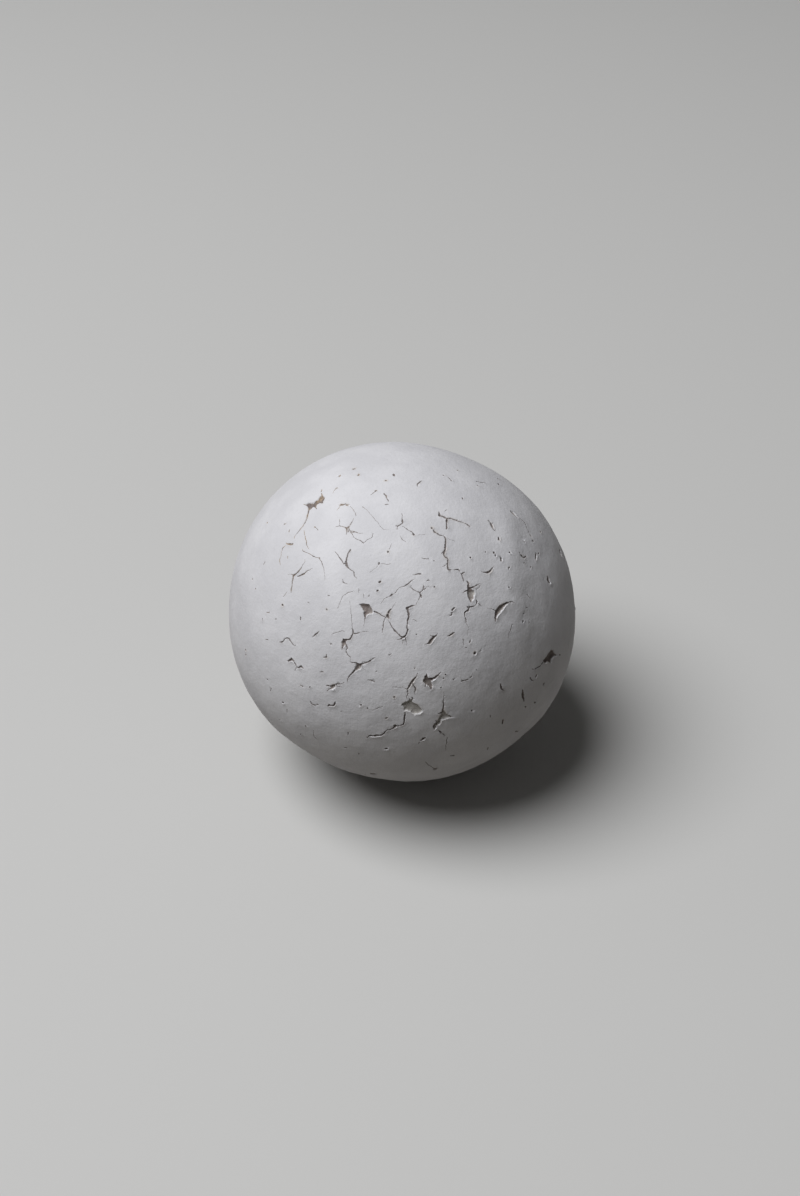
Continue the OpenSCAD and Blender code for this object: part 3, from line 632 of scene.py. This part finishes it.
def read_marks(rays):
    """For points of the skin: distance from the nearest edge and its half width, distance
    from the middle of the nearest line with the sign of its side, depth of the opening,
    how far down its wall the point lies, 0 to 1, and how much of a lip it has."""
    points = rays * PLAN_D / 2
    edge = np.full(len(points), FAR)
    half = np.full(len(points), PLAIN_HALF)
    line_off = np.full(len(points), FAR)
    depth = np.zeros(len(points))
    fall = np.zeros(len(points))
    lip = np.zeros(len(points))
    near_any = np.zeros(len(points), bool)
    nears = []
    for line, _, _ in MARKS:
        middle = line.mean(0)
        reach = np.linalg.norm(line - middle, axis=1).max() + NEAR_MARK
        limit = ((PLAN_D / 2) ** 2 + middle @ middle - reach**2) / 2
        near = np.nonzero(points @ middle > limit)[0]
        near_any[near] = True
        nears.append(near)
    points[near_any] = wander(points[near_any])
    for (line, halves, lower_right), near in zip(MARKS, nears):
        if not len(near):
            continue
        here = points[near]
        if isinstance(halves, float):
            away = outline_distance(here, line)
            width = np.full(len(near), halves)
            deep = FLAKE_DEPTH
            run = np.minimum(width * SLOPE_SHARE, SLOPE_MAX)
            slid = outline_distance(here + lower_right * run[0], line)
        else:
            away, width, off = line_distance(here, line, halves)
            deep = depth_of(width)
            nearer = np.abs(off) < np.abs(line_off[near])
            line_off[near[nearer]] = off[nearer]
            run = np.minimum(width * SLOPE_SHARE, SLOPE_MAX)
            slid = away
            if halves.max() > SLOPE_HALF:
                slid = line_distance(here + lower_right * run[:, None], line, halves)[0]
        wall = wall_of(width)
        steep = np.clip(-away / wall, 0, 1)
        gentle = np.clip(-away / (wall + run), 0, 1)
        eased = np.minimum(steep, np.maximum(gentle, -slid / wall * 2))
        down = np.where(slid < -wall * 0.5, steep, eased)
        lean = np.clip((slid - away) / np.maximum(run, 0.01), -1, 1)
        curl = np.exp(-np.maximum(away, 0) / LIP_REACH) * (1 - down)
        curl *= np.clip(width / LIP_FULL_WIDTH, 0.2, 1) * (1 + LIP_LEAN * lean)
        lip[near] = np.maximum(lip[near], curl)
        depth[near] = np.maximum(depth[near], down * deep)
        fall[near] = np.maximum(fall[near], down)
        closer = away < edge[near]
        edge[near[closer]] = away[closer]
        half[near[closer]] = width[closer]
    return edge, half, line_off, depth, fall, lip * (1 - fall)


# ---------------------------------------------------------------------------
# The ball
# ---------------------------------------------------------------------------
def rays_of(bm):
    """Unit vector toward every point of a mesh."""
    rays = np.array([v.co[:] for v in bm.verts])
    return rays / np.linalg.norm(rays, axis=1)[:, None]


def put_back(bm, points):
    """Moves every point of a mesh to its new place."""
    for v, p in zip(bm.verts, points):
        v.co = p


def goal_distance(rays):
    """Distance from what a point is to lie on: the middle of a thin crack, else an edge."""
    edge, half, line_off = read_marks(rays)[:3]
    return np.where(half < THIN_HALF, edge + half, edge)


def cut_finer(bm, band, face_only=False):
    """Cuts every triangle whose middle lies within the band of a mark's edge."""
    bm.verts.index_update()
    rays = rays_of(bm)
    corners = np.array([[v.index for v in face.verts] for face in bm.faces])
    middles = rays[corners].mean(1)
    middles /= np.linalg.norm(middles, axis=1)[:, None]
    near = np.abs(goal_distance(middles)) < band
    if face_only:
        near &= middles @ toward(FACE_TURN, FACE_TILT) > FACE_COSINE
    wanted = {}
    for face, cut in zip(bm.faces, near):
        if cut:
            wanted.update(dict.fromkeys(face.edges))
    bmesh.ops.subdivide_edges(bm, edges=list(wanted), cuts=1, use_grid_fill=True)
    bmesh.ops.triangulate(bm, faces=[f for f in bm.faces if len(f.verts) > 3])
    put_back(bm, rays_of(bm))


def settle_on_edges(bm):
    """Slides the points that lie close to a mark's edge onto it, so that the edge is clean.
    Points whose slide would fold a triangle over stay where they are."""
    bm.verts.index_update()
    rays = rays_of(bm)
    goal = goal_distance(rays)
    near = np.nonzero(np.abs(goal) < SETTLE_BAND)[0]
    bm.verts.ensure_lookup_table()
    size = []
    for i in near:
        edges = bm.verts[i].link_edges
        size.append(sum(e.calc_length() for e in edges) / len(edges))
    size = np.array(size) * PLAN_D / 2
    close = near[np.abs(goal[near]) < size * SETTLE_SHARE]
    step = 0.012
    before = rays.copy()
    for _ in range(2):
        here = rays[close]
        across = np.cross(here, [0.3, 0.5, 0.81])
        across /= np.linalg.norm(across, axis=1)[:, None]
        up = np.cross(here, across)
        off = goal_distance(here)
        slope_a = (goal_distance(here + across * step / (PLAN_D / 2)) - off) / step
        slope_u = (goal_distance(here + up * step / (PLAN_D / 2)) - off) / step
        share = -off / np.clip(slope_a**2 + slope_u**2, 0.5, 4.0)
        slide = across * (slope_a * share)[:, None] + up * (slope_u * share)[:, None]
        here = here + slide / (PLAN_D / 2)
        rays[close] = here / np.linalg.norm(here, axis=1)[:, None]
    corners = np.array([[v.index for v in face.verts] for face in bm.faces])
    for _ in range(8):
        a, b, c = rays[corners].transpose(1, 0, 2)
        out = np.cross(b - a, c - a)
        out /= np.linalg.norm(out, axis=1)[:, None] + 1e-15
        folded = np.unique(corners[(out * a).sum(1) < FOLDED_COSINE])
        rays[folded] = before[folded]
    put_back(bm, rays)


def build_ball(name, node):
    """The whole ball: its round is the node's, and the marks are sunk into it."""
    noise.seed_set(WANDER_SEED)
    bm = bmesh.new()
    bmesh.ops.create_icosphere(bm, subdivisions=SPHERE_STEPS, radius=1.0)
    for band in FINE_BANDS:
        cut_finer(bm, band)
    cut_finer(bm, FACE_BAND, face_only=True)
    settle_on_edges(bm)

    rays = rays_of(bm)
    points = rays * PLAN_D / 2
    reach = powers(rays) @ round_of(node) - SINK
    face = PLANS[0]
    way = plan_ray(face, ROUGH_WAY) - plan_ray(face, (0, 0))
    rough = np.clip(1 + ROUGH_SIDE * 2 * rays @ way, 1 - ROUGH_SIDE, 1 + ROUGH_SIDE * 1.4)
    for seed, (size, height) in enumerate(RELIEF):
        reach += noise_at(points, size, seed + 1) * height * rough
    spot = plan_ray(face, ROUGH_SPOT[:2]) * PLAN_D / 2
    rough = np.exp(-((points - spot) ** 2).sum(1) / ROUGH_SPOT[2] ** 2)
    reach += noise_at(points, ROUGH_SIZE, 9, depth=2) * ROUGH_HEIGHT * rough
    fold = np.array([plan_ray(face, s) for s in FOLD]) * PLAN_D / 2
    away = line_distance(points, fold, np.zeros(len(fold)))[0]
    reach += FOLD_HEIGHT * np.exp(-((away / FOLD_REACH) ** 2))

    edge, half, line_off, depth, fall, lip = read_marks(rays)
    crumbs = noise_at(points, CRUMB_SIZE, 11, depth=2)
    reach -= depth * (1 + CRUMB * crumbs)
    curl = np.clip(1 + LIP_WAVE[1] * noise_at(points, LIP_WAVE[0], 12), 0.1, 2)
    reach += LIP_RISE * curl * lip
    reach += noise_at(points, LIP_GRAIN[0], 13) * LIP_GRAIN[1] * lip

    put_back(bm, rays * reach[:, None] * MM)
    mesh = bpy.data.meshes.new(name)
    bm.to_mesh(mesh)
    bm.free()
    mesh.shade_smooth()
    for label, values in (("edge", edge), ("half", half), ("line_off", line_off), ("fall", fall)):
        layer = mesh.attributes.new(label, "FLOAT", "POINT")
        layer.data.foreach_set("value", values.astype(np.float32))
    ball = bpy.data.objects.new(name, mesh)
    bpy.context.scene.collection.objects.link(ball)
    return ball


# ---------------------------------------------------------------------------
# Materials
# ---------------------------------------------------------------------------
class Nodes:
    """Short ways to add and join the nodes of one material or group."""

    def __init__(self, tree):
        """Works on this node tree."""
        self.tree = tree

    def add(self, kind, values=None, **settings):
        """A node, with its sockets fed and its settings made."""
        made = self.tree.nodes.new(kind)
        for key, value in settings.items():
            setattr(made, key, value)
        for socket, value in (values or {}).items():
            self.feed(made.inputs[socket], value)
        return made

    def feed(self, socket, value):
        """Joins a socket to an output, or sets it to a constant."""
        if isinstance(value, bpy.types.NodeSocket):
            self.tree.links.new(value, socket)
        else:
            socket.default_value = value

    def noise(self, vector, scale, detail=3.0, rough=0.5):
        """Noise near 0 to 1, with scale in features to the metre."""
        made = self.add("ShaderNodeTexNoise", {
            "Vector": vector, "Scale": scale, "Detail": detail, "Roughness": rough,
        })
        return made.outputs["Fac"]

    def band(self, value, low, high, to_low=0.0, to_high=1.0):
        """Goes smoothly from one value to another as the input goes from low to high."""
        made = self.add("ShaderNodeMapRange", {
            "Value": value, "From Min": low, "From Max": high, "To Min": to_low, "To Max": to_high,
        }, interpolation_type="SMOOTHSTEP")
        return made.outputs["Result"]

    def math(self, how, a, b=0.0):
        """One sum."""
        return self.add("ShaderNodeMath", {0: a, 1: b}, operation=how).outputs[0]

    def mix(self, share, first, second):
        """A value between two."""
        made = self.add("ShaderNodeMix", data_type="FLOAT")
        self.feed(made.inputs["Factor"], share)
        self.feed(made.inputs[2], first)
        self.feed(made.inputs[3], second)
        return made.outputs[0]

    def blend(self, share, first, second):
        """A colour between two."""
        made = self.add("ShaderNodeMix", data_type="RGBA", blend_type="MIX")
        self.feed(made.inputs["Factor"], share)
        self.feed(made.inputs[6], first)
        self.feed(made.inputs[7], second)
        return made.outputs[2]

    def looked_at(self):
        """1 where a thing is seen, straight, mirrored or through glass, and 0 where it throws light."""
        path = self.add("ShaderNodeLightPath").outputs
        seen = self.math("MAXIMUM", path["Is Camera Ray"], path["Is Glossy Ray"])
        return self.math("MAXIMUM", seen, path["Is Transmission Ray"])

    def attribute(self, name):
        """A value kept at every point of the mesh."""
        return self.add("ShaderNodeAttribute", attribute_name=name).outputs["Fac"]


def new_material(name):
    """An empty material and the means to fill it."""
    made = bpy.data.materials.new(name)
    made.use_nodes = True
    made.node_tree.nodes.clear()
    return made, Nodes(made.node_tree)


WHITE = (0.74, 0.74, 0.775, 1)
WHITE_DULL = (0.67, 0.67, 0.705, 1)
WHITE_GREY = (0.58, 0.575, 0.575, 1)
TAN_STAIN = (0.58, 0.50, 0.41, 1)
# Clay for a thin crack: the clay's colour with painted shade of the narrow crack.
CLAY_WITH_CRACK_SHADE = (0.23, 0.205, 0.200, 1)
CLAY_BROWN = (0.25, 0.206, 0.192, 1)
CLAY_LIGHT = (0.385, 0.352, 0.328, 1)
# Clay for the lit side: partly its own tan, partly painted light.
CLAY_TAN_AND_LIT = (0.43, 0.342, 0.258, 1)
# Painted shade for the clay low in a tear.
CLAY_IN_PAINTED_SHADE = (0.165, 0.142, 0.142, 1)
CLAY_PALE = (0.47, 0.455, 0.435, 1)

# The clay is painted lighter and tan on the side that lies this way, the side the light comes from, and
# greyer on the others: partly its own tan, partly painted light.
TAN_AND_LIT_SIDE = (-0.71, 0.44, 0.56)
SLIP_ROUGH = 0.62
CLAY_ROUGH = 0.9
SLIP_SHEEN = 0.25

FLOOR_THROWS = (0.185, 0.172, 0.150, 1)
FLOOR_SEEN = (0.62, 0.62, 0.615, 1)
SKY_THROWS = (1.0, 0.985, 0.955, 1)
SKY_SEEN = (0.50, 0.50, 0.495, 1)


def slip_skin():
    """Matte white slip, brushed and mottled, over tan clay that shows where the skin is torn."""
    made, n = new_material("slip_skin")
    place = n.add("ShaderNodeTexCoord").outputs["Object"]
    edge = n.attribute("edge")
    half = n.attribute("half")
    fall = n.attribute("fall")

    # The slip is mottled, dull in its grain, and stained here and there beside a tear.
    mottle = n.noise(place, 80.0, 4.0, 0.55)
    grain = n.noise(place, 1400.0, 3.0, 0.6)
    speck = n.noise(place, 1100.0, 4.0, 0.65)
    clot = n.noise(place, 520.0, 3.0, 0.55)
    white = n.blend(n.band(mottle, 0.35, 0.65), WHITE_DULL, WHITE)
    white = n.blend(n.math("MULTIPLY", n.band(grain, 0.5, 0.8), 0.3), white, WHITE_GREY)
    near = n.band(edge, 0.0, 0.5, 1.0, 0.0)
    patch = n.band(n.noise(place, 200.0, 2.0), 0.45, 0.66, 0.0, 0.28)
    patch = n.math("MULTIPLY", patch, n.band(half, 0.08, 0.25))
    white = n.blend(n.math("MULTIPLY", near, patch), white, TAN_STAIN)

    # The clay is brown and light in clots, paler in a wide flake, and darker in a thin crack,
    # where the dark is painted shade of the narrow crack. It is painted lighter and tan on the
    # upper left, the side the light comes from, partly its own tan and partly painted light,
    # and painted shade darkens it low in a tear.
    mixed = n.math("ADD", n.math("MULTIPLY", clot, 0.6), n.math("MULTIPLY", speck, 0.4))
    clay = n.blend(n.band(mixed, 0.42, 0.56), CLAY_BROWN, CLAY_LIGHT)
    pale = n.math("MULTIPLY", n.band(half, 0.95, 1.25), n.band(speck, 0.30, 0.50, 0.55, 1.0))
    clay = n.blend(pale, clay, CLAY_PALE)
    # Painted shade: a thin crack gets the darker clay.
    clay = n.blend(n.band(half, 0.14, 0.62), CLAY_WITH_CRACK_SHADE, clay)
    # Painted light: the clay on the side the light comes from is lighter and tan, partly its own tan.
    aslant = n.add("ShaderNodeVectorMath", {0: place, 1: TAN_AND_LIT_SIDE}, operation="DOT_PRODUCT")
    tan = n.band(aslant.outputs["Value"], 0.018, 0.036)
    tan = n.math("MULTIPLY", tan, n.band(clot, 0.40, 0.56, 0.05, 1.0))
    clay = n.blend(tan, clay, CLAY_TAN_AND_LIT)
    # Painted shade: the clay is darkened low in a mid-width tear, where the tear falls deepest.
    deep = n.math("MULTIPLY", n.band(half, 0.20, 0.40), n.band(half, 0.70, 1.10, 1.0, 0.0))
    deep = n.math("MULTIPLY", deep, n.band(fall, 0.65, 1.0, 0.0, 0.7))
    deep = n.math("MULTIPLY", deep, n.mix(tan, 1.0, n.band(speck, 0.42, 0.56, 0.0, 0.8)))
    clay = n.blend(deep, clay, CLAY_IN_PAINTED_SHADE)

    # A wide tear is bare below its white wall, a crack is bare all over, and the thinnest
    # cracks are bare along a line, in the dark clay that carries painted crack shade.
    ragged = n.math("ADD", fall, n.band(speck, 0.25, 0.75, -0.25, 0.25))
    wide = n.band(half, 0.12, 0.36)
    opening = n.band(edge, -0.03, 0.02, 1.0, 0.0)
    bare = n.math("MULTIPLY", opening, n.mix(wide, 1.0, n.band(ragged, 0.20, 0.60)))
    off = n.math("SUBTRACT", n.math("ABSOLUTE", n.attribute("line_off")), half)
    crack = n.band(off, -0.01, 0.04, 1.0, 0.0)
    crack = n.math("MULTIPLY", crack, n.band(edge, 0.11, 0.17, 1.0, 0.0))
    crack = n.math("MULTIPLY", crack, n.band(half, 0.10, 0.18, 1.0, 0.0))
    bare = n.math("MAXIMUM", bare, crack)
    colour = n.blend(bare, white, clay)

    # Brush marks, pores and grain too fine for the mesh.
    turned = n.add("ShaderNodeMapping", {
        "Vector": place, "Rotation": (math.radians(FACE_TILT), 0, 0), "Scale": (1.0, 1.0, 0.07),
    }).outputs[0]
    brushed = n.noise(turned, 700.0, 2.0, 0.5)
    pores = n.noise(place, 620.0, 4.0, 0.62)
    height = n.math("ADD", n.math("MULTIPLY", grain, 0.7), n.math("MULTIPLY", pores, 1.6))
    height = n.math("ADD", height, n.math("MULTIPLY", brushed, 0.8))
    bump = n.add("ShaderNodeBump", {"Strength": 0.62, "Distance": 0.00012, "Height": height})
    shader = n.add("ShaderNodeBsdfPrincipled", {
        "Base Color": colour,
        "Roughness": n.mix(bare, SLIP_ROUGH, CLAY_ROUGH),
        "Normal": bump.outputs["Normal"],
    })
    shader.inputs["Specular IOR Level"].default_value = SLIP_SHEEN
    n.add("ShaderNodeOutputMaterial", {"Surface": shader.outputs[0]})
    return made


# ---------------------------------------------------------------------------
# Stage, light and camera
# ---------------------------------------------------------------------------
def plain_floor(height):
    """A pale floor. It throws less light back up at the ball than the camera sees of it."""
    bm = bmesh.new()
    bmesh.ops.create_circle(bm, cap_ends=True, segments=96, radius=3.0)
    bmesh.ops.translate(bm, verts=bm.verts, vec=(0, 0, height))
    mesh = bpy.data.meshes.new("floor")
    bm.to_mesh(mesh)
    bm.free()
    floor = bpy.data.objects.new("floor", mesh)
    bpy.context.scene.collection.objects.link(floor)
    made, n = new_material("pale_floor")
    colour = n.blend(n.looked_at(), FLOOR_THROWS, FLOOR_SEEN)
    shader = n.add("ShaderNodeBsdfPrincipled", {"Base Color": colour, "Roughness": 0.85})
    shader.inputs["Specular IOR Level"].default_value = 0.2
    n.add("ShaderNodeOutputMaterial", {"Surface": shader.outputs[0]})
    mesh.materials.append(made)


def soft_lamp(name, place, aim, size, watts, colour):
    """A round lamp this wide that shines from its place toward its aim."""
    data = bpy.data.lights.new(name, "AREA")
    data.shape = "DISK"
    data.size = size
    data.energy = watts
    data.color = colour
    lamp = bpy.data.objects.new(name, data)
    lamp.location = place
    lamp.rotation_euler = (Vector(aim) - Vector(place)).to_track_quat("-Z", "Y").to_euler()
    bpy.context.scene.collection.objects.link(lamp)


def soft_sky(strength):
    """A dim sky, seen as a pale grey."""
    world = bpy.data.worlds.new("sky")
    world.use_nodes = True
    world.node_tree.nodes.clear()
    n = Nodes(world.node_tree)
    light = n.add("ShaderNodeBackground", {"Color": SKY_THROWS, "Strength": strength})
    seen = n.add("ShaderNodeBackground", {"Color": SKY_SEEN, "Strength": 1.0})
    mix = n.add("ShaderNodeMixShader", {0: n.looked_at(), 1: light.outputs[0], 2: seen.outputs[0]})
    n.add("ShaderNodeOutputWorld", {"Surface": mix.outputs[0]})
    bpy.context.scene.world = world


LENS_MM = 50.0
SENSOR_MM = 36.0
EYE_DISTANCE = 0.475
EYE_TILT = 38.0
LONG_SIDE_PX = 1196
# The middle of the ball sits this many pixels right of and below the middle of the view.
MIDDLE_RIGHT_PX = 2
MIDDLE_DOWN_PX = 13


def set_camera():
    """Looks down at the middle of the ball from the front."""
    data = bpy.data.cameras.new("camera")
    data.lens = LENS_MM
    data.sensor_width = SENSOR_MM
    data.shift_x = -MIDDLE_RIGHT_PX / LONG_SIDE_PX
    data.shift_y = MIDDLE_DOWN_PX / LONG_SIDE_PX
    camera = bpy.data.objects.new("camera", data)
    tilt = math.radians(EYE_TILT)
    back = Vector((0, -math.cos(tilt), math.sin(tilt)))
    camera.location = back * EYE_DISTANCE
    camera.rotation_mode = "QUATERNION"
    camera.rotation_quaternion = (-back).to_track_quat("-Z", "Y")
    bpy.context.scene.collection.objects.link(camera)
    bpy.context.scene.camera = camera


# ---------------------------------------------------------------------------
# The scene
# ---------------------------------------------------------------------------
set_camera()
ball = build_ball("cracked_ball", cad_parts["ball"])
ball.data.materials.append(slip_skin())
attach(ball, "root")
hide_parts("ball")

plain_floor(cad_low.z)
soft_lamp("window", place=(-0.92, -0.27, 1.97), aim=(0, 0, 0), size=1.6, watts=48.0, colour=(1, 1, 1))
soft_sky(0.05)
bpy.context.scene.view_settings.view_transform = "Standard"
